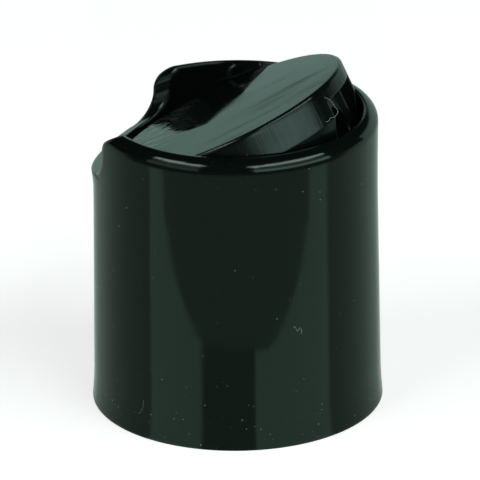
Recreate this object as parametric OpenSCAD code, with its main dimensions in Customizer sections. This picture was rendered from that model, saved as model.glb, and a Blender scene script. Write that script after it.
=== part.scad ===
// Disc top closure for a 24-410 bottle neck: a smooth-walled cap body with a
// thumb scoop, and a disc that tips on two trunnions to raise its spout.
// Millimetres. The base stands on z = 0, the spout faces -Y and the scoop +Y.

/* [Cap body] */
// Height from the base to the sharp inner edge of the rim
cap_h = 29.8; // [28.5:0.1:33]
// Thickness of the wall around the bore, just above the flared foot
wall_t = 1.84; // [1.5:0.01:2.2]
// Height of the flared foot
flare_h = 4; // [2:0.1:6]
// How far the foot flares out beyond the wall
flare = 0.2; // [0:0.01:0.6]
// Radius of the foot's outer edge
foot_edge_r = 0.12; // [0.05:0.01:0.4]
// Draft of the outer wall, in degrees
draft = 0.76; // [0:0.01:1.2]
// How far the wall swells out again under the shoulder
swell = 0.16; // [0:0.01:0.3]
// Length of wall over which it swells
swell_h = 10; // [2:0.1:12]
// Radius of the rounded outer shoulder
shoulder_r = 1.25; // [1:0.01:1.6]
// Thickness of the wall around the recess that holds the disc
rim_t = 1.55; // [1.25:0.01:1.8]

/* [Neck] */
// Radius of the skirt's bore at the root of its thread
neck_r = 12.15; // [12.05:0.01:12.4]
// Thickness of the deck
deck_t = 1.4; // [1:0.1:2]
// Lead-in chamfer at the mouth of the bore
mouth_chamfer = 0.5; // [0.2:0.1:0.9]
// Radius of the corner between the bore and the deck
bore_corner_r = 0.75; // [0.5:0.05:1]
// Distance from the bore's wall to the circle of the sealing bead
bead_in = 2.55; // [1.8:0.05:3.2]
// Radius of the sealing bead's section
bead_r = 0.5; // [0.3:0.05:0.8]

/* [Thumb scoop] */
// Half of the scoop's width between its upright sides
scoop_half_w = 8.6; // [6:0.1:9]
// Depth of the scoop's floor below the rim, measured at the recess wall
scoop_depth = 5.6; // [4:0.1:6]
// Slope of the floor down to the outside, in degrees
scoop_slope = 25.6; // [10:0.1:32]
// Radius between the floor and the sides
scoop_corner_r = 2.1; // [1:0.1:2.6]
// Height of the straight part of the sides above that radius
scoop_side_h = 0.1; // [0:0.1:0.8]
// Radius with which the sides roll over into the rim
scoop_roll_r = 1.3; // [0.6:0.1:1.6]
// How far the lip under the scoop stands out from the wall
lip_proud = 0.27; // [0:0.01:0.4]
// Height of wall over which the lip grows out
lip_h = 2.6; // [1.5:0.1:4]
// Shift of the lip towards the scoop, by which it fades out at its sides
lip_shift = 1.35; // [1:0.05:2]

/* [Disc] */
// Gap between the disc and the recess wall around it
disc_gap = 0.44; // [0.32:0.01:0.6]
// Depth of the closed disc's top below the rim
disc_sink = 0.65; // [0.4:0.01:1.4]
// Thickness of the disc's plate
plate_t = 1.5; // [1:0.05:1.7]
// Radius of the rounding around the plate's top edge
plate_edge_r = 0.33; // [0.15:0.01:0.6]
// Depth of the straight part of the disc's side below its top
straight_h = 3.3; // [2.6:0.05:3.8]
// Draft of the side below its straight part, in degrees
side_draft = 19; // [17:0.1:24]
// Depth of the disc's skirt below its top
skirt_h = 6.6; // [5:0.1:7.4]
// Thickness of the disc's skirt
skirt_t = 1.1; // [0.8:0.05:1.4]

/* [Pivot] */
// Angle by which the disc tips from shut to open, in degrees
open_angle = 25.3; // [20:0.1:26]
// Offset of the pivot axis from the cap's axis, towards the scoop
pivot_back = 1; // [0.5:0.05:1.6]
// Depth of the pivot axis below the top of the disc
pivot_depth = 1.5; // [1.4:0.05:2]
// Radius of the trunnions
trunnion_r = 1.05; // [0.8:0.01:1.2]
// How far the trunnions stand out from the recess wall into their sockets
trunnion_in = 0.3; // [0.15:0.01:0.4]
// Radial clearance of the trunnions in their sockets
pivot_gap = 0.07; // [0.02:0.01:0.1]
// Thickness of the raised pads around the sockets
pad_t = 0.25; // [0.1:0.01:0.28]
// Width of the pads
pad_w = 6; // [4:0.1:8]
// Height of the pads
pad_h = 4; // [3.4:0.1:5]
// Depth of the pads' upper edge below the rim
pad_sink = 0.35; // [0.1:0.05:0.8]
// Radius of the pads' corners
pad_corner_r = 0.8; // [0.3:0.1:1.4]
// Gap between the open disc's skirt and the deck
floor_gap = 0.83; // [0.4:0.01:1.5]

/* [Spout] */
// Half of the width of the window in the disc's front
window_half_w = 3.55; // [2.8:0.05:4]
// Depth of the window behind the front of the disc
window_depth = 2; // [1.2:0.1:2.6]
// Thickness of the cheeks beside the window
cheek_t = 1.1; // [0.8:0.05:1.6]
// How far the window's frame lies inside the face of the disc's skirt
frame_inset = 0.14; // [0.05:0.01:0.3]
// Depth of the spout's channel below the top of the disc
channel_depth = 5.3; // [4.6:0.1:5.6]
// Radius of the spout's channel
channel_r = 1.5; // [1.2:0.05:1.7]
// Thickness of the wall around the channel
channel_t = 1.1; // [0.8:0.05:1.2]
// Radius of the mouth of the channel in the window
mouth_r = 2.1; // [1.7:0.05:2.3]
// Length of the mouth
mouth_h = 1.5; // [0.5:0.1:2]

/* [Valve] */
// Radius of the ball under the disc, about the pivot axis
ball_r = 8; // [7.6:0.05:8.4]
// Radius of the stem that carries the ball
stem_r = 4.4; // [4:0.05:4.8]
// How far the stem's axis lies behind the pivot axis
stem_back = 0.33; // [0.1:0.01:0.8]
// Radius of the discharge hole in the deck
hole_r = 1.4; // [1:0.05:1.5]
// Radius of the raised seat around the discharge hole
seat_r = 3.4; // [2.8:0.05:3.6]
// Clearance between the ball and its seat
seat_gap = 0.08; // [0.03:0.01:0.15]

/* [Hidden] */
$fn = 96;
eps = 0.01;
arc_steps = 8;
wall_steps = 28;

body_r = neck_r + wall_t;
recess_r = body_r - rim_t;
disc_r = recess_r - disc_gap;
shoulder_z = cap_h - sqrt(pow(shoulder_r, 2) - pow(recess_r - rim_r() + shoulder_r, 2));
disc_top = cap_h - disc_sink;
pivot_y = pivot_back;
pivot_z = disc_top - pivot_depth;
// The deck lies under the lowest point that the back of the skirt reaches
deck_top = pivot_z - floor_gap - (skirt_h - pivot_depth) * cos(open_angle)
    - (side_r(skirt_h) - pivot_back) * sin(open_angle);
deck_z = deck_top - deck_t;
// The hole lies on the cap's axis, so the ball meets it this far forward of
// straight down, and the inlet is drilled further back by the open angle
hole_angle = asin(pivot_back / ball_r);
inlet_angle = open_angle - hole_angle;
scoop_floor_y = recess_r;
scoop_floor_z = cap_h - scoop_depth;
black = [0.09, 0.12, 0.105];

function rim_r() = wall_r_at(cap_h - shoulder_r);
function wall_r_at(z) =
    body_r - max(0, z - flare_h) * tan(draft)
    + flare * pow(max(0, 1 - z / flare_h), 2)
    + swell * pow(max(0, 1 - (cap_h - shoulder_r - z) / swell_h), 2);
function arc(cx, cy, r, from, to) =
    [for (i = [0 : arc_steps]) let (a = from + (to - from) * i / arc_steps) [cx + r * cos(a), cy + r * sin(a)]];

// Section of the outer wall, from the base to the inner edge of the rim
function outer_wall() = concat(
    arc(wall_r_at(foot_edge_r) - foot_edge_r, foot_edge_r, foot_edge_r, -90, 0),
    [for (i = [1 : wall_steps - 1]) let (z = (cap_h - shoulder_r) * i / wall_steps) [wall_r_at(z), z]],
    arc(rim_r() - shoulder_r, shoulder_z, shoulder_r, 0, acos((recess_r - rim_r() + shoulder_r) / shoulder_r)));

// The moulded shell: skirt, deck and rim in one revolved section
module shell() {
    rotate_extrude()
        polygon(concat(
            [[neck_r + mouth_chamfer, 0]],
            outer_wall(),
            [[recess_r, deck_top], [0, deck_top], [0, deck_z]],
            arc(neck_r - bore_corner_r, deck_z - bore_corner_r, bore_corner_r, 90, 0),
            [[neck_r, mouth_chamfer]]));
}

// Half-round bead under the deck that seals on the bottle's lip
module sealing_bead() {
    rotate_extrude()
        translate([neck_r - bead_in, deck_z])
            circle(r = bead_r, $fn = 32);
}

// Lip that swells out of the wall below the scoop
module scoop_lip() {
    lip_z = scoop_floor_z - lip_h;
    base_r = wall_r_at(lip_z) - lip_shift;
    translate([0, lip_shift, lip_z])
        cylinder(r1 = base_r, r2 = base_r + lip_proud, h = lip_h);
}

// Outline of the scoop seen along its floor, flat below with round corners,
// rolling outwards at the top
module scoop_outline() {
    side_top = scoop_corner_r + scoop_side_h;
    half = concat(
        arc(scoop_half_w - scoop_corner_r, scoop_corner_r, scoop_corner_r, -90, 0),
        arc(scoop_half_w + scoop_roll_r, side_top, scoop_roll_r, 180, 90),
        [[scoop_half_w + scoop_roll_r, cap_h]]);
    polygon(concat(half, [for (i = [len(half) - 1 : -1 : 0]) [-half[i][0], half[i][1]]]));
}

module scoop_cut() {
    out = 2 * (rim_t + lip_proud);
    in = recess_r;
    translate([0, scoop_floor_y, scoop_floor_z])
        rotate([90 - scoop_slope, 0, 0])
            translate([0, 0, -out])
                linear_extrude(out + in)
                    scoop_outline();
}

// Raised pads on the recess wall around the two trunnion sockets
module pads() {
    intersection() {
        difference() {
            cylinder(r = recess_r + eps, h = cap_h);
            cylinder(r = recess_r - pad_t, h = cap_h);
        }
        translate([0, pivot_y, cap_h - pad_sink - pad_h / 2])
            rotate([0, 90, 0])
                linear_extrude(4 * recess_r, center = true)
                    union() {
                        square([pad_h - 2 * pad_corner_r, pad_w], center = true);
                        square([pad_h, pad_w - 2 * pad_corner_r], center = true);
                        for (x = [-1, 1], y = [-1, 1])
                            translate([x * (pad_h / 2 - pad_corner_r), y * (pad_w / 2 - pad_corner_r)])
                                circle(r = pad_corner_r, $fn = 32);
                    }
    }
}

module sockets() {
    translate([0, pivot_y, pivot_z])
        rotate([0, 90, 0])
            cylinder(r = trunnion_r + pivot_gap, h = 2 * (recess_r + trunnion_in + pivot_gap), center = true);
}

// Raised seat around the discharge hole, dished to fit the ball
module seat() {
    translate([0, 0, deck_top - eps])
        cylinder(r = seat_r, h = pivot_z - deck_top - ball_r / 2);
}

module cap_body() {
    color(black)
        difference() {
            union() {
                difference() {
                    union() {
                        shell();
                        difference() {
                            scoop_lip();
                            translate([0, 0, deck_top])
                                cylinder(r = recess_r + eps, h = cap_h);
                        }
                        pads();
                    }
                    scoop_cut();
                }
                sealing_bead();
                seat();
            }
            sockets();
            translate([0, pivot_y, pivot_z])
                rotate([0, 90, 0])
                    sphere(r = ball_r + seat_gap);
            cylinder(r = hole_r, h = cap_h);
        }
}

// Radius of the disc's side at a depth below its top
function side_r(depth) = disc_r - max(0, depth - straight_h) * tan(side_draft);

// Plate and skirt in one revolved section, its top at the height 0
module plate_and_skirt() {
    rotate_extrude()
        polygon(concat(
            [[0, 0]],
            arc(disc_r - plate_edge_r, -plate_edge_r, plate_edge_r, 90, 0),
            [[disc_r, -straight_h], [side_r(skirt_h), -skirt_h], [side_r(skirt_h) - skirt_t, -skirt_h],
             [disc_r - skirt_t, -straight_h], [disc_r - skirt_t, -plate_t], [0, -plate_t]]));
}

// Solid front of the disc, in which the window is cut. Its face lies just inside
// the skirt's outer face and goes on below the skirt.
module front_block() {
    depth = channel_depth + channel_r + channel_t;
    back = disc_r - window_depth - cheek_t;
    intersection() {
        rotate_extrude()
            polygon([[0, -plate_t / 2], [disc_r - frame_inset, -plate_t / 2], [disc_r - frame_inset, -straight_h],
                     [side_r(depth) - frame_inset, -depth], [0, -depth]]);
        translate([-window_half_w - cheek_t, -disc_r, -depth])
            cube([2 * (window_half_w + cheek_t), disc_r - back, depth]);
    }
}

module window() {
    translate([-window_half_w, -disc_r - window_depth, -cap_h])
        cube([2 * window_half_w, 2 * window_depth, cap_h - plate_t]);
}

// Web and tube that hold the channel, from the ball to the front
module channel_wall() {
    r = channel_r + channel_t;
    length = disc_r - window_depth - cheek_t / 2;
    translate([-r, -length, -channel_depth])
        cube([2 * r, length, channel_depth - plate_t / 2]);
    translate([0, 0, -channel_depth])
        rotate([90, 0, 0])
            cylinder(r = r, h = length);
}

// Stem with the ball that shuts the discharge hole
module ball() {
    intersection() {
        translate([0, pivot_y + stem_back, -pivot_depth - ball_r])
            cylinder(r = stem_r, h = ball_r + pivot_depth - plate_t / 2);
        translate([0, pivot_y, -pivot_depth])
            rotate([0, 90, 0])
                sphere(r = ball_r);
    }
}

// Inlet through the ball, channel to the front and its wider mouth
module passage() {
    inlet_len = ball_r + 2 * hole_r;
    bend_r = (channel_depth - pivot_depth) / cos(inlet_angle);
    bend_y = pivot_y + bend_r * sin(inlet_angle);
    translate([0, pivot_y, -pivot_depth])
        rotate([inlet_angle, 0, 0])
            translate([0, 0, -inlet_len])
                cylinder(r = hole_r, h = inlet_len - bend_r);
    translate([0, bend_y + hole_r, -channel_depth])
        rotate([90, 0, 0])
            cylinder(r = channel_r, h = bend_y + hole_r + disc_r);
    translate([0, mouth_h + window_depth - disc_r, -channel_depth])
        rotate([90, 0, 0])
            cylinder(r = mouth_r, h = mouth_h + window_depth);
}

module trunnions() {
    translate([0, pivot_y, -pivot_depth])
        rotate([0, 90, 0])
            difference() {
                cylinder(r = trunnion_r, h = 2 * (recess_r + trunnion_in), center = true);
                cylinder(r = 2 * trunnion_r, h = 2 * (disc_r - skirt_t / 2), center = true);
            }
}

module disc_shut() {
    difference() {
        union() {
            plate_and_skirt();
            front_block();
            channel_wall();
            ball();
            trunnions();
        }
        window();
        passage();
    }
}

// The disc stands open, tipped about its trunnions
module disc() {
    color(black)
        translate([0, pivot_y, pivot_z])
            rotate([-open_angle, 0, 0])
                translate([0, -pivot_y, pivot_depth])
                    disc_shut();
}

cap_body();
disc();
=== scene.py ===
import math

import bmesh
import bpy
import numpy as np
from mathutils import Matrix, Vector


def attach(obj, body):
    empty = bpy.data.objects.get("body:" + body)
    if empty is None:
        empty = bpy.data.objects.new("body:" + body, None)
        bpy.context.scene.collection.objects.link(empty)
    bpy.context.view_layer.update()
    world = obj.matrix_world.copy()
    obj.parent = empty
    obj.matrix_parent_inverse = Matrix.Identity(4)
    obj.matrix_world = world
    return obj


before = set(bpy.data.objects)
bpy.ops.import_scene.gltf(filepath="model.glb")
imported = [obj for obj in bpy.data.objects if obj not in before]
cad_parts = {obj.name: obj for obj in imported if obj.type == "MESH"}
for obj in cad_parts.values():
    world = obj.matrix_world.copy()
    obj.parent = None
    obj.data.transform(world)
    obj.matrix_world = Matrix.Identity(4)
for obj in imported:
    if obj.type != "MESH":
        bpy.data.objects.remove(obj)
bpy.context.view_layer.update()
SCENE = bpy.context.scene.collection

# Camera: a long lens about 700 mm away and 23 degrees above the table, with the
# spout to the right and a little towards the viewer, as in the photograph.
ELEVATION = math.radians(22.9)
SPOUT_TURN = math.radians(16.3)
CAMERA_DISTANCE = 0.700
FOCAL_PX = 7209
IMAGE_PX = 480
ROLL = math.radians(0.6)
AIM = Vector((0, 0, 0.015))
AIM_PX = (236.3, 250.05)

away = Vector((math.cos(SPOUT_TURN), math.sin(SPOUT_TURN), 0))
right = away.cross(Vector((0, 0, 1)))
forward = away * math.cos(ELEVATION) - Vector((0, 0, math.sin(ELEVATION)))
up = right.cross(forward)
rolled_right = right * math.cos(ROLL) - up * math.sin(ROLL)
rolled_up = up * math.cos(ROLL) + right * math.sin(ROLL)
metres_per_px = CAMERA_DISTANCE / FOCAL_PX
centre = AIM + (rolled_right * (IMAGE_PX / 2 - AIM_PX[0]) + rolled_up * (AIM_PX[1] - IMAGE_PX / 2)) * metres_per_px
camera_data = bpy.data.cameras.new("camera")
camera_data.sensor_width = 36
camera_data.lens = FOCAL_PX / IMAGE_PX * camera_data.sensor_width
camera_data.clip_start = 0.01
camera = bpy.data.objects.new("camera", camera_data)
SCENE.objects.link(camera)
camera_axes = Matrix((rolled_right, rolled_up, -forward)).transposed()
camera.matrix_world = Matrix.Translation(centre - forward * CAMERA_DISTANCE) @ camera_axes.to_4x4()
bpy.context.scene.camera = camera

# Cap body: one injection moulding in black polypropylene from a polished tool.
# It shows a hard gloss with a green cast, edges rounded by the tool's radii, a
# slight ripple where the melt cooled, and fine scratches around the foot.
BODY_BLACK = "#090f0c"
POLYPROPYLENE_IOR = 1.49
BODY_EDGE_R = 0.0005
RIPPLE_SIZE = 0.006
RIPPLE_DEPTH = 0.00002
GREEN_SHEEN = "#e4fff2"
HAZE_PER_METRE = 260.0
BODY_GLOSS = (0.05, 0.13)
SCUFFED_FOOT = 0.0035
SCUFFS_PER_METRE = (6000, 6000, 300)
SCUFF_ROUGHNESS = 0.2
SCUFF_DEPTH = 0.000004


def linear(hex_colour):
    channels = [int(hex_colour[i:i + 2], 16) / 255 for i in (1, 3, 5)]
    return tuple(c / 12.92 if c <= 0.04045 else ((c + 0.055) / 1.055) ** 2.4 for c in channels) + (1,)


def add(tree, kind, inputs=None, **settings):
    """One node in the tree; an input's value may be a number, a colour or another node's output."""
    node = tree.nodes.new(kind)
    for key, value in settings.items():
        setattr(node, key, value)
    for key, value in (inputs or {}).items():
        if isinstance(value, bpy.types.NodeSocket):
            tree.links.new(value, node.inputs[key])
        else:
            node.inputs[key].default_value = value
    return node


def new_material(name):
    material = bpy.data.materials.new(name)
    material.use_nodes = True
    tree = material.node_tree
    tree.nodes.clear()
    return material, tree, add(tree, "ShaderNodeOutputMaterial")


polypropylene_body, tree, output = new_material("polypropylene_moulded_black_body")
place = add(tree, "ShaderNodeTexCoord").outputs["Object"]
height = add(tree, "ShaderNodeSeparateXYZ", {"Vector": place}).outputs["Z"]
ripple = add(tree, "ShaderNodeTexNoise", {"Vector": place, "Scale": 1 / RIPPLE_SIZE, "Detail": 1.0})
stretched = add(tree, "ShaderNodeMapping", {"Vector": place, "Rotation": (0.5, 0.2, 0), "Scale": SCUFFS_PER_METRE})
scuffs = add(tree, "ShaderNodeTexNoise", {"Vector": stretched.outputs["Vector"], "Scale": 1.0, "Detail": 2.0})
near_foot = add(tree, "ShaderNodeMapRange", {"Value": height, "From Min": 0.0, "From Max": SCUFFED_FOOT,
                                             "To Min": 1.0, "To Max": 0.04})
scuffed = add(tree, "ShaderNodeMath", {0: near_foot.outputs["Result"], 1: scuffs.outputs["Fac"]},
              operation="MULTIPLY")
haze = add(tree, "ShaderNodeTexNoise", {"Vector": place, "Scale": HAZE_PER_METRE, "Detail": 4.0, "Roughness": 0.6})
sheen = add(tree, "ShaderNodeMapRange", {"Value": haze.outputs["Fac"], "From Min": 0.35, "From Max": 0.75,
                                         "To Min": BODY_GLOSS[0], "To Max": BODY_GLOSS[1]})
roughness = add(tree, "ShaderNodeMath", {0: scuffed.outputs[0], 1: SCUFF_ROUGHNESS, 2: sheen.outputs["Result"]},
                operation="MULTIPLY_ADD")
edge = add(tree, "ShaderNodeBevel", {"Radius": BODY_EDGE_R}, samples=8)
wavy = add(tree, "ShaderNodeBump", {"Height": ripple.outputs["Fac"], "Strength": 1.0, "Distance": RIPPLE_DEPTH,
                                    "Normal": edge.outputs["Normal"]})
scratched = add(tree, "ShaderNodeBump", {"Height": scuffed.outputs[0], "Strength": 0.6, "Distance": SCUFF_DEPTH,
                                         "Normal": wavy.outputs["Normal"]})
gloss = add(tree, "ShaderNodeBsdfPrincipled", {
    "Base Color": linear(BODY_BLACK), "IOR": POLYPROPYLENE_IOR, "Roughness": roughness.outputs[0],
    "Specular Tint": linear(GREEN_SHEEN), "Normal": scratched.outputs["Normal"]})
tree.links.new(gloss.outputs["BSDF"], output.inputs["Surface"])
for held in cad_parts["cap_body"].material_slots:
    held.material = polypropylene_body

# Neck thread: one and a half turns of right-handed thread inside the skirt, moulded
# with the cap body. It takes the 24-410 bottle neck, eight threads to the inch.
THREAD_PITCH = 0.003175
THREAD_TURNS = 1.5
THREAD_ROOT_R = 0.01215
THREAD_CREST_R = 0.01115
THREAD_FOOT_W = 0.0017
THREAD_START_Z = 0.0026
THREAD_RUN_OUT = 0.10
STEPS_PER_TURN = 120

count = int(THREAD_TURNS * STEPS_PER_TURN) + 1
section = [(0.0002, -0.5), (0, -0.5), (-0.42, -0.30), (-0.85, -0.19), (-1, -0.10), (-1, 0.10), (-0.85, 0.19),
           (-0.42, 0.30), (0, 0.5), (0.0002, 0.5)]
thread_depth = THREAD_ROOT_R - THREAD_CREST_R
thread_shape = bmesh.new()
rings = []
for i in range(count):
    along = i / (count - 1)
    angle = 2 * math.pi * THREAD_TURNS * along
    fade = min(1, along / THREAD_RUN_OUT, (1 - along) / THREAD_RUN_OUT)
    fade = max(0.02, math.sin(fade * math.pi / 2))
    ring = []
    for inward, width in section:
        r = THREAD_ROOT_R + (0.00015 if inward > 0 else inward * thread_depth * fade)
        z = THREAD_START_Z + THREAD_PITCH * THREAD_TURNS * along + width * THREAD_FOOT_W * (0.4 + 0.6 * fade)
        ring.append(thread_shape.verts.new((r * math.cos(angle), r * math.sin(angle), z)))
    rings.append(ring)
for first, second in zip(rings, rings[1:]):
    for j in range(len(section)):
        k = (j + 1) % len(section)
        thread_shape.faces.new((first[j], first[k], second[k], second[j]))
thread_shape.faces.new(rings[0])
thread_shape.faces.new(rings[-1])
bmesh.ops.recalc_face_normals(thread_shape, faces=thread_shape.faces)
for face in thread_shape.faces:
    face.smooth = True
thread_mesh = bpy.data.meshes.new("neck_thread")
thread_shape.to_mesh(thread_mesh)
thread_shape.free()
thread_mesh.materials.append(polypropylene_body)
thread = bpy.data.objects.new("neck_thread", thread_mesh)
SCENE.objects.link(thread)
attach(thread, "body")

# Disc: the spout with its ball valve, moulded in the same polypropylene. Its plate is a
# mirror slightly out of flat, streaked where the melt flowed and folded at the thumb's
# end, and its side has fine draw marks along the disc's axis.
DISC_BLACK = "#090f0c"
DISC_EDGE_R = 0.00028
OPEN_ANGLE = math.radians(25.3)
PIVOT = (0, 0.001, 0.02765)
PLATE_TOP = 0.0015
PLATE_SIDE = (0.0003, 0.0006)
DISC_GLOSS = (0.04, 0.10)
WARP_DEPTH = 0.0001
THUMB_END_Y = (0.0040, 0.0075)
FOLD_DEPTH = 0.00006
DRAW_MARKS_PER_RADIAN = 60.0
DRAW_MARK_ROUGHNESS = 0.22
DRAW_MARK_DEPTH = 0.000012
STREAK_ROUGHNESS = 0.30
STREAK_TURN = 0.54
STREAK_WIDTH = 0.0030
STREAK_LENGTH = 0.025
DISH = 1.3
DISH_LOWEST_X = 0.009

polypropylene_disc, tree, output = new_material("polypropylene_moulded_black_disc")
place = add(tree, "ShaderNodeTexCoord").outputs["Object"]
shut = add(tree, "ShaderNodeVectorRotate", {"Vector": place, "Center": PIVOT, "Angle": OPEN_ANGLE},
           rotation_type="X_AXIS")
shut_axes = add(tree, "ShaderNodeSeparateXYZ", {"Vector": shut.outputs["Vector"]}).outputs
under_plate = add(tree, "ShaderNodeMapRange", {
    "Value": shut_axes["Z"], "From Min": PIVOT[2] + PLATE_TOP - PLATE_SIDE[0],
    "From Max": PIVOT[2] + PLATE_TOP - PLATE_SIDE[1]})
around = add(tree, "ShaderNodeMath", {0: shut_axes["Y"], 1: shut_axes["X"]}, operation="ARCTAN2")
around_xyz = add(tree, "ShaderNodeCombineXYZ", {"X": around.outputs[0], "Y": shut_axes["Z"]})
marks = add(tree, "ShaderNodeTexNoise", {"Vector": around_xyz.outputs["Vector"], "Scale": DRAW_MARKS_PER_RADIAN,
                                         "Detail": 3.0, "Roughness": 0.7})
marks_on_side = add(tree, "ShaderNodeMath", {0: marks.outputs["Fac"], 1: under_plate.outputs["Result"]},
                    operation="MULTIPLY")
thumb_end = add(tree, "ShaderNodeMapRange", {"Value": shut_axes["Y"], "From Min": THUMB_END_Y[0],
                                             "From Max": THUMB_END_Y[1]})
folds_place = add(tree, "ShaderNodeMapping", {"Vector": shut.outputs["Vector"], "Rotation": (0, 0, 0.5),
                                              "Scale": (900, 330, 300)})
folds = add(tree, "ShaderNodeTexNoise", {"Vector": folds_place.outputs["Vector"], "Scale": 1.0, "Detail": 1.5,
                                         "Distortion": 1.2})
folds_there = add(tree, "ShaderNodeMath", {0: folds.outputs["Fac"], 1: thumb_end.outputs["Result"]},
                  operation="MULTIPLY")
warp = add(tree, "ShaderNodeTexNoise", {"Vector": shut.outputs["Vector"], "Scale": 120.0, "Detail": 0.0})
haze = add(tree, "ShaderNodeTexNoise", {"Vector": place, "Scale": 300.0, "Detail": 3.0})
sheen = add(tree, "ShaderNodeMapRange", {"Value": haze.outputs["Fac"], "From Min": 0.35, "From Max": 0.75,
                                         "To Min": DISC_GLOSS[0], "To Max": DISC_GLOSS[1]})
roughness = add(tree, "ShaderNodeMath", {0: marks_on_side.outputs[0], 1: DRAW_MARK_ROUGHNESS,
                                         2: sheen.outputs["Result"]}, operation="MULTIPLY_ADD")
streak_place = add(tree, "ShaderNodeMapping", {"Vector": shut.outputs["Vector"], "Rotation": (0, 0, STREAK_TURN),
                                               "Scale": (STREAK_WIDTH, STREAK_LENGTH, STREAK_LENGTH)},
                   vector_type="TEXTURE")
streaks = add(tree, "ShaderNodeTexNoise", {"Vector": streak_place.outputs["Vector"], "Scale": 1.0, "Detail": 3.0,
                                           "Roughness": 0.55})
flow = add(tree, "ShaderNodeMapRange", {"Value": streaks.outputs["Fac"], "From Min": 0.42, "From Max": 0.66,
                                        "To Max": STREAK_ROUGHNESS})
spout_half = add(tree, "ShaderNodeMapRange", {"Value": shut_axes["Y"], "From Min": 0.002, "From Max": -0.004})
flow = add(tree, "ShaderNodeMath", {0: flow.outputs["Result"], 1: spout_half.outputs["Result"]},
           operation="MULTIPLY")
roughness = add(tree, "ShaderNodeMath", {0: roughness.outputs[0], 1: flow.outputs[0]})
edge = add(tree, "ShaderNodeBevel", {"Radius": DISC_EDGE_R}, samples=6)
from_lowest = add(tree, "ShaderNodeMath", {0: shut_axes["X"], 1: DISH_LOWEST_X}, operation="SUBTRACT")
squared = add(tree, "ShaderNodeMath", {0: from_lowest.outputs[0], 1: from_lowest.outputs[0]}, operation="MULTIPLY")
sunk = add(tree, "ShaderNodeMath", {0: squared.outputs[0], 1: -DISH}, operation="MULTIPLY")
dished = add(tree, "ShaderNodeBump", {"Height": sunk.outputs[0], "Strength": 1.0, "Distance": 1.0,
                                      "Normal": edge.outputs["Normal"]})
warped = add(tree, "ShaderNodeBump", {"Height": warp.outputs["Fac"], "Strength": 1.0, "Distance": WARP_DEPTH,
                                      "Normal": dished.outputs["Normal"]})
folded = add(tree, "ShaderNodeBump", {"Height": folds_there.outputs[0], "Strength": 1.0, "Distance": FOLD_DEPTH,
                                      "Normal": warped.outputs["Normal"]})
drawn = add(tree, "ShaderNodeBump", {"Height": marks_on_side.outputs[0], "Strength": 1.0, "Distance": DRAW_MARK_DEPTH,
                                     "Normal": folded.outputs["Normal"]})
gloss = add(tree, "ShaderNodeBsdfPrincipled", {
    "Base Color": linear(DISC_BLACK), "IOR": POLYPROPYLENE_IOR, "Roughness": roughness.outputs[0],
    "Specular Tint": linear(GREEN_SHEEN), "Normal": drawn.outputs["Normal"]})
tree.links.new(gloss.outputs["BSDF"], output.inputs["Surface"])
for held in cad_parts["disc"].material_slots:
    held.material = polypropylene_disc

# Dust: pale specks that cling to the charged plastic, most of them near the foot.
# They lie on the outside of the body and on the disc, each group with its own piece.
DUST_PALE = "#b9cfc3"
SPECK_R = (0.000014, 0.000060)
SPECK_SKEW = 3.5
FOOT_HEIGHT = 0.009
FOOT_SHARE = 2.6
WALL_SHARE = 0.5

dust_pale, tree, output = new_material("dust_pale_matt")
place = add(tree, "ShaderNodeTexCoord").outputs["Object"]
shade = add(tree, "ShaderNodeTexNoise", {"Vector": place, "Scale": 900.0})
tint = add(tree, "ShaderNodeMix", {"Factor": shade.outputs["Fac"], "A": linear("#7f9488"), "B": linear(DUST_PALE)},
           data_type="RGBA")
matt = add(tree, "ShaderNodeBsdfPrincipled", {"Base Color": tint.outputs["Result"], "Roughness": 0.9})
tree.links.new(matt.outputs["BSDF"], output.inputs["Surface"])


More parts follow.
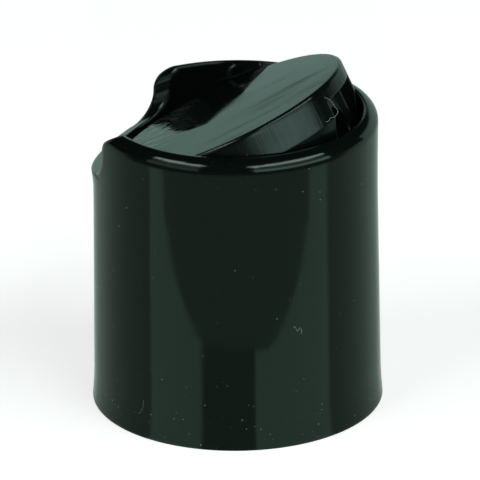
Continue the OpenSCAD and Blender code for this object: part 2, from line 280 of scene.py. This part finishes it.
def settle_dust(name, carrier, body, per_mm2, inner_r, seed):
    """Specks scattered over one CAD node, outside the given radius from the cap's axis."""
    tree = bpy.data.node_groups.new(name + "_scatter", "GeometryNodeTree")
    for socket, kind in (("Carrier", "NodeSocketObject"), ("Per square metre", "NodeSocketFloat"),
                         ("Inner radius", "NodeSocketFloat"), ("Smallest", "NodeSocketFloat"),
                         ("Largest", "NodeSocketFloat"), ("Seed", "NodeSocketInt")):
        tree.interface.new_socket(socket, in_out="INPUT", socket_type=kind)
    tree.interface.new_socket("Geometry", in_out="OUTPUT", socket_type="NodeSocketGeometry")
    given = add(tree, "NodeGroupInput").outputs
    surface = add(tree, "GeometryNodeObjectInfo", {"Object": given["Carrier"]})
    position = add(tree, "GeometryNodeInputPosition").outputs["Position"]
    at = add(tree, "ShaderNodeSeparateXYZ", {"Vector": position}).outputs
    flat = add(tree, "ShaderNodeCombineXYZ", {"X": at["X"], "Y": at["Y"]})
    radius = add(tree, "ShaderNodeVectorMath", {0: flat.outputs["Vector"]}, operation="LENGTH")
    outside = add(tree, "ShaderNodeMath", {0: radius.outputs["Value"], 1: given["Inner radius"]},
                  operation="GREATER_THAN")
    low = add(tree, "ShaderNodeMapRange", {"Value": at["Z"], "From Min": 0.0, "From Max": FOOT_HEIGHT,
                                           "To Min": FOOT_SHARE, "To Max": WALL_SHARE})
    density = add(tree, "ShaderNodeMath", {0: given["Per square metre"], 1: low.outputs["Result"]},
                  operation="MULTIPLY")
    density = add(tree, "ShaderNodeMath", {0: density.outputs[0], 1: outside.outputs[0]}, operation="MULTIPLY")
    spots = add(tree, "GeometryNodeDistributePointsOnFaces", {
        "Mesh": surface.outputs["Geometry"], "Density": density.outputs[0], "Seed": given["Seed"]})
    speck = add(tree, "GeometryNodeMeshIcoSphere", {"Radius": 1.0, "Subdivisions": 1})
    smallness = add(tree, "FunctionNodeRandomValue", {"Min": 0.0, "Max": 1.0, "Seed": given["Seed"]},
                    data_type="FLOAT")
    skewed = add(tree, "ShaderNodeMath", {0: smallness.outputs["Value"], 1: SPECK_SKEW}, operation="POWER")
    size = add(tree, "ShaderNodeMapRange", {"Value": skewed.outputs[0], "To Min": given["Smallest"],
                                            "To Max": given["Largest"]})
    flattened = add(tree, "ShaderNodeCombineXYZ", {"X": size.outputs["Result"], "Y": size.outputs["Result"],
                                                   "Z": given["Smallest"]})
    laid = add(tree, "GeometryNodeInstanceOnPoints", {
        "Points": spots.outputs["Points"], "Instance": speck.outputs["Mesh"], "Rotation": spots.outputs["Rotation"],
        "Scale": flattened.outputs["Vector"]})
    real = add(tree, "GeometryNodeRealizeInstances", {"Geometry": laid.outputs["Instances"]})
    dusty = add(tree, "GeometryNodeSetMaterial", {"Geometry": real.outputs["Geometry"], "Material": dust_pale})
    add(tree, "NodeGroupOutput", {"Geometry": dusty.outputs["Geometry"]})
    host = bpy.data.objects.new(name + "_host", bpy.data.meshes.new(name + "_host"))
    SCENE.objects.link(host)
    modifier = host.modifiers.new("scatter", "NODES")
    modifier.node_group = tree
    values = {"Carrier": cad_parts[carrier], "Per square metre": per_mm2 * 1e6, "Inner radius": inner_r,
              "Smallest": SPECK_R[0], "Largest": SPECK_R[1], "Seed": seed}
    for item in tree.interface.items_tree:
        if item.in_out == "INPUT":
            modifier[item.identifier] = values[item.name]
    seen = host.evaluated_get(bpy.context.evaluated_depsgraph_get())
    dust = bpy.data.objects.new(name, bpy.data.meshes.new_from_object(seen))
    bpy.data.objects.remove(host)
    dust.data.name = name
    SCENE.objects.link(dust)
    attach(dust, body)


settle_dust("dust_on_body", "cap_body", "body", 0.38, 0.0128, 7)
settle_dust("dust_on_disc", "disc", "disc", 0.06, 0.0, 3)

# Lint: a few textile fibres caught on the plastic, two on the wall, one inside the
# far rim, one on the plate and one hooked over the corner of the spout's window.
LINT_R = 0.000018
WALL_R_MM = 14.0
FLARE_TOP_MM = 4
WALL_TAPER = 0.0133
LINT_CLEAR_MM = 0.02
DISC_R_MM = 12.0


def lay_lint(name, body, points, radius=LINT_R):
    """One fibre as a thin round thread through the points, in millimetres."""
    curve = bpy.data.curves.new(name, "CURVE")
    curve.dimensions = "3D"
    curve.bevel_depth = radius
    curve.bevel_resolution = 1
    curve.resolution_u = 6
    spline = curve.splines.new("NURBS")
    spline.points.add(len(points) - 1)
    for point, (x, y, z) in zip(spline.points, points):
        point.co = (x / 1000, y / 1000, z / 1000, 1)
    spline.order_u = 3
    spline.use_endpoint_u = True
    holder = bpy.data.objects.new(name + "_curve", curve)
    SCENE.objects.link(holder)
    mesh = bpy.data.meshes.new_from_object(holder.evaluated_get(bpy.context.evaluated_depsgraph_get()))
    bpy.data.objects.remove(holder)
    mesh.name = name
    mesh.materials.clear()
    mesh.materials.append(dust_pale)
    lint = bpy.data.objects.new(name, mesh)
    SCENE.objects.link(lint)
    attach(lint, body)


def on_wall(angle, height):
    """A point just clear of the outer wall: degrees to the right of the camera's side, millimetres up."""
    r = WALL_R_MM - max(0, height - FLARE_TOP_MM) * WALL_TAPER + LINT_CLEAR_MM
    turn = math.radians(angle)
    spot = right * math.sin(turn) - away * math.cos(turn)
    return (spot.x * r, spot.y * r, height)


lay_lint("lint_on_wall_right", "body",
         [on_wall(a, h) for a, h in ((22.8, 12.3), (23.4, 12.5), (24.0, 12.1), (24.6, 11.8), (25.2, 12.1),
                                     (25.9, 12.2), (26.5, 11.8), (26.2, 11.5))])
lay_lint("lint_on_wall_left", "body",
         [on_wall(a, h) for a, h in ((-40.4, 3.9), (-40.5, 3.4), (-41.0, 2.9), (-43.1, 2.2), (-45.0, 2.3),
                                     (-46.4, 2.2), (-47.7, 1.8), (-48.9, 1.5))], radius=LINT_R / 2)


PLATE_MM = (PIVOT[2] + PLATE_TOP) * 1000


def on_disc(x, y, z):
    """A point of the shut disc in millimetres, turned to where it lies when the disc is open."""
    turned = Matrix.Rotation(-OPEN_ANGLE, 3, "X") @ (Vector((x, y, z)) - Vector(PIVOT) * 1000)
    return tuple(turned + Vector(PIVOT) * 1000)


def on_side(angle, depth, clear):
    """A point off the disc's side: degrees from -X towards the front, millimetres down and off it."""
    turn, r = math.radians(angle), DISC_R_MM + clear
    return on_disc(-r * math.cos(turn), -r * math.sin(turn), PLATE_MM - depth)


lay_lint("lint_on_plate", "disc",
         [on_disc(x, y, PLATE_MM + LINT_CLEAR_MM)
          for x, y in ((-3.9, 1.7), (-4.7, 1.5), (-5.2, 1.7), (-6.0, 1.3), (-7.0, 0.8))])
lay_lint("lint_on_window", "disc",
         [on_side(*spot) for spot in (
             (72.0, 1.0, 0), (74.3, 1.4, 0.03), (75.3, 2.0, 0.05), (75.0, 2.4, 0.1), (76.2, 2.7, 0.1),
             (75.8, 3.1, 0.05), (71.7, 3.2, 0.03), (69.5, 2.9, 0.02), (68.0, 3.2, 0), (65.9, 3.0, 0))])
lay_lint("lint_on_far_rim", "body",
         [tuple(right * side + away * back + Vector((0, 0, height)))
          for side, back, height in ((2.45, 12.13, 29.75), (2.55, 12.10, 29.6), (2.5, 12.10, 29.4))])

# Table and studio: a plain white table in a dim room, with two strip lamps in front.
# A glowing grey mat lies on it that only glossy rays see: a painted reflection, so the wall mirrors its painted tones
# and not the white table. Its tones were matched to what the real cap's wall mirrors.
TABLE_WHITE = "#f4f6f5"
TABLE_HALF = 3
TABLE_GLOW = 0.62
MAT_INNER_R = 0.0105
MAT_MIDDLE_R = 0.0125
MAT_CLEAR_R = 0.0143
MAT_Z = 0.00003
# Tint, base tone and lit-band tone of the mat's painted reflection.
REFLECTION_TINT = "#e2fff0"
REFLECTION_BASE_TONE = 0.30
PAINTED_LIT_TONE = 0.34
STRIP_HEIGHT = 0.17
STRIP_DISTANCE = 0.7


def step(x, a, b):
    t = np.clip((x - a) / (b - a), 0, 1)
    return t * t * (3 - 2 * t)


table = bpy.data.meshes.new("table")
table.from_pydata([(x * TABLE_HALF, y * TABLE_HALF, 0) for x, y in ((-1, -1), (1, -1), (1, 1), (-1, 1))],
                  [], [(0, 1, 2, 3)])
table = bpy.data.objects.new("table", table)
SCENE.objects.link(table)
table_white, tree, output = new_material("table_painted_white")
path = add(tree, "ShaderNodeLightPath").outputs
seen = add(tree, "ShaderNodeMath", {0: path["Is Camera Ray"], 1: path["Is Glossy Ray"]}, operation="MAXIMUM")
seen = add(tree, "ShaderNodeMath", {0: seen.outputs[0], 1: path["Is Transmission Ray"]}, operation="MAXIMUM")
glow = add(tree, "ShaderNodeMath", {0: seen.outputs[0], 1: TABLE_GLOW}, operation="MULTIPLY")
paint = add(tree, "ShaderNodeBsdfPrincipled", {
    "Base Color": linear(TABLE_WHITE), "Roughness": 0.9, "Emission Color": (1, 1, 1, 1),
    "Emission Strength": glow.outputs[0]})
tree.links.new(paint.outputs["BSDF"], output.inputs["Surface"])
table.data.materials.append(table_white)

# The mat is a grid over the wall's angle phi and height z. Each point lies where the wall
# mirrors the table in the photograph's view, so its bands run straight up the wall there.
# It stays put when the camera moves. Its tones are painted reflection: lit bands, a dark band near the top, lighter
# sides, and a bowl and its stand as a plain dark form.
heights = np.concatenate([[0, 0], np.linspace(0.0004, 0.030, 75), np.geomspace(0.033, 1.1, 14)])
clear_r = np.full(len(heights), MAT_CLEAR_R)
clear_r[:2] = MAT_INNER_R, MAT_MIDDLE_R
phi, z = np.meshgrid(np.radians(np.linspace(-89.5, 89.5, 180)), heights, indexing="ij")
reach = z / math.tan(ELEVATION)
across = clear_r * np.sin(phi) + reach * np.sin(2 * phi)
ahead = -clear_r * np.cos(phi) - reach * np.cos(2 * phi)
points = across[..., None] * np.array(right) + ahead[..., None] * np.array(away)
points[..., 2] = MAT_Z
u = np.sin(phi)
z_mm = z * 1000
# Painted reflection: the lit table as brighter bands, a bowl and its stand painted dark, a painted dark band near the
# top and lighter sides.
painted_lit_bands = step(u, -0.61, -0.595) * (1 - step(u, 0.63, 0.645)) * (1 - step(z_mm, 27, 30))
painted_bowl_half = 0.17 + 0.33 * np.clip((z_mm - 10.5) / 13, 0, 1) ** 0.55
painted_bowl_reflection = 1 - step(np.abs(u - 0.005), painted_bowl_half, painted_bowl_half + 0.02)
painted_bowl_reflection = painted_bowl_reflection * step(z_mm, 10.3, 10.8)
painted_stand_reflection = step(u, -0.255, -0.245) * (1 - step(u, 0.12, 0.13)) * (1 - step(z_mm, 10.8, 11.2))
painted_reflection_tone = REFLECTION_BASE_TONE + PAINTED_LIT_TONE * painted_lit_bands * (1 - painted_bowl_reflection) * (1 - painted_stand_reflection) - 0.10 * painted_stand_reflection
painted_reflection_tone = painted_reflection_tone * (1 - 0.8 * step(z_mm, 29, 34) * (1 - step(np.abs(phi), 0.75, 0.9)))
painted_reflection_tone = painted_reflection_tone + 0.10 * step(np.abs(phi), 0.75, 1.25) + 0.20 * step(np.abs(phi), 1.3, 1.5)
count_phi, count_z = phi.shape
index = np.arange(count_phi * count_z).reshape(count_phi, count_z)
quads = np.stack([index[:-1, :-1], index[1:, :-1], index[1:, 1:], index[:-1, 1:]], axis=-1).reshape(-1, 4)
painted_reflection_mesh = bpy.data.meshes.new("mat")
painted_reflection_mesh.from_pydata(points.reshape(-1, 3).tolist(), [], quads.tolist())
painted_reflection_mesh.attributes.new("painted_reflection_tone", "FLOAT", "POINT").data.foreach_set("value", painted_reflection_tone.reshape(-1))
# A sheet put on the table only for glossy rays: a painted reflection, unseen by camera, diffuse and shadow rays.
mat = bpy.data.objects.new("mat", painted_reflection_mesh)
SCENE.objects.link(mat)
mat.visible_camera = False
mat.visible_diffuse = False
mat.visible_shadow = False
# Its colour is emission set by the painted tone: a painted reflection that glows though it is no lamp.
painted_reflection_grey, tree, output = new_material("painted_reflection_soft_grey")
shade = add(tree, "ShaderNodeAttribute", attribute_name="painted_reflection_tone").outputs["Fac"]
painted_reflection_glow = add(tree, "ShaderNodeEmission", {"Color": linear(REFLECTION_TINT), "Strength": shade})
tree.links.new(painted_reflection_glow.outputs["Emission"], output.inputs["Surface"])
painted_reflection_mesh.materials.append(painted_reflection_grey)

for name, turn, lift, width, power in (("strip_left", -56, 48, 0.44, 1.1), ("strip_right", 50, 48, 0.72, 1.8)):
    lamp = bpy.data.lights.new(name, "AREA")
    lamp.shape = "RECTANGLE"
    lamp.size = width
    lamp.size_y = STRIP_HEIGHT
    lamp.energy = power
    lamp_object = bpy.data.objects.new(name, lamp)
    SCENE.objects.link(lamp_object)
    side = right * math.sin(math.radians(turn)) - away * math.cos(math.radians(turn))
    direction = side * math.cos(math.radians(lift)) + Vector((0, 0, math.sin(math.radians(lift))))
    facing = direction.to_track_quat("Z", "Y").to_matrix().to_4x4()
    lamp_object.matrix_world = Matrix.Translation(AIM + direction * STRIP_DISTANCE) @ facing

# The room: bright panels at fixed places, by azimuth in radians from the photograph's
# camera side, growing to the right, and by the sine of their height above the horizon
ROOM_GREEN = "#9cbdb4"
PANEL_WHITE = "#c8dcdc"
DIM_ROOM = 0.03

world = bpy.data.worlds.new("dim_studio")
world.use_nodes = True
tree = world.node_tree
tree.nodes.clear()
output = add(tree, "ShaderNodeOutputWorld")
direction = add(tree, "ShaderNodeTexCoord").outputs["Generated"]
sideways = add(tree, "ShaderNodeVectorMath", {0: direction, 1: tuple(right)}, operation="DOT_PRODUCT")
forwards = add(tree, "ShaderNodeVectorMath", {0: direction, 1: tuple(-away)}, operation="DOT_PRODUCT")
azimuth = add(tree, "ShaderNodeMath", {0: sideways.outputs["Value"], 1: forwards.outputs["Value"]},
              operation="ARCTAN2")
elevation = add(tree, "ShaderNodeSeparateXYZ", {"Vector": direction}).outputs["Z"]


def between(value, low, high, soft):
    """1 where the value lies between low and high, with soft edges."""
    rise = add(tree, "ShaderNodeMapRange", {"Value": value, "From Min": low - soft, "From Max": low + soft},
               interpolation_type="SMOOTHSTEP")
    fall = add(tree, "ShaderNodeMapRange", {"Value": value, "From Min": high - soft, "From Max": high + soft,
                                            "To Min": 1.0, "To Max": 0.0}, interpolation_type="SMOOTHSTEP")
    both = add(tree, "ShaderNodeMath", {0: rise.outputs["Result"], 1: fall.outputs["Result"]}, operation="MULTIPLY")
    return both.outputs[0]


light = DIM_ROOM
for low_azimuth, high_azimuth, low_sine, high_sine, strength in (
        (0.25, 1.38, 0.0, 0.24, 2.7), (-1.27, -0.51, 0.0, 0.24, 0.9),
        (0.25, 1.38, 0.24, 0.66, 0.6), (-1.27, -0.51, 0.24, 0.66, 0.5),
        (2.1, 4.0, -0.3, 0.34, 1.0), (-4.0, -2.1, -0.3, 0.34, 1.0)):
    here = add(tree, "ShaderNodeMath", {0: between(azimuth.outputs[0], low_azimuth, high_azimuth, 0.02),
                                        1: between(elevation, low_sine, high_sine, 0.05)}, operation="MULTIPLY")
    sum_so_far = add(tree, "ShaderNodeMath", {0: here.outputs[0], 1: strength, 2: light}, operation="MULTIPLY_ADD")
    light = sum_so_far.outputs[0]
ahead_of_cap = add(tree, "ShaderNodeMath", {0: forwards.outputs["Value"], 1: 0.0}, operation="GREATER_THAN")
room = add(tree, "ShaderNodeMix", {"Factor": ahead_of_cap.outputs[0], "A": linear(ROOM_GREEN),
                                   "B": linear(PANEL_WHITE)}, data_type="RGBA")
background = add(tree, "ShaderNodeBackground", {"Color": room.outputs["Result"], "Strength": light})
tree.links.new(background.outputs["Background"], output.inputs["Surface"])
bpy.context.scene.world = world
bpy.context.scene.view_settings.view_transform = "Standard"
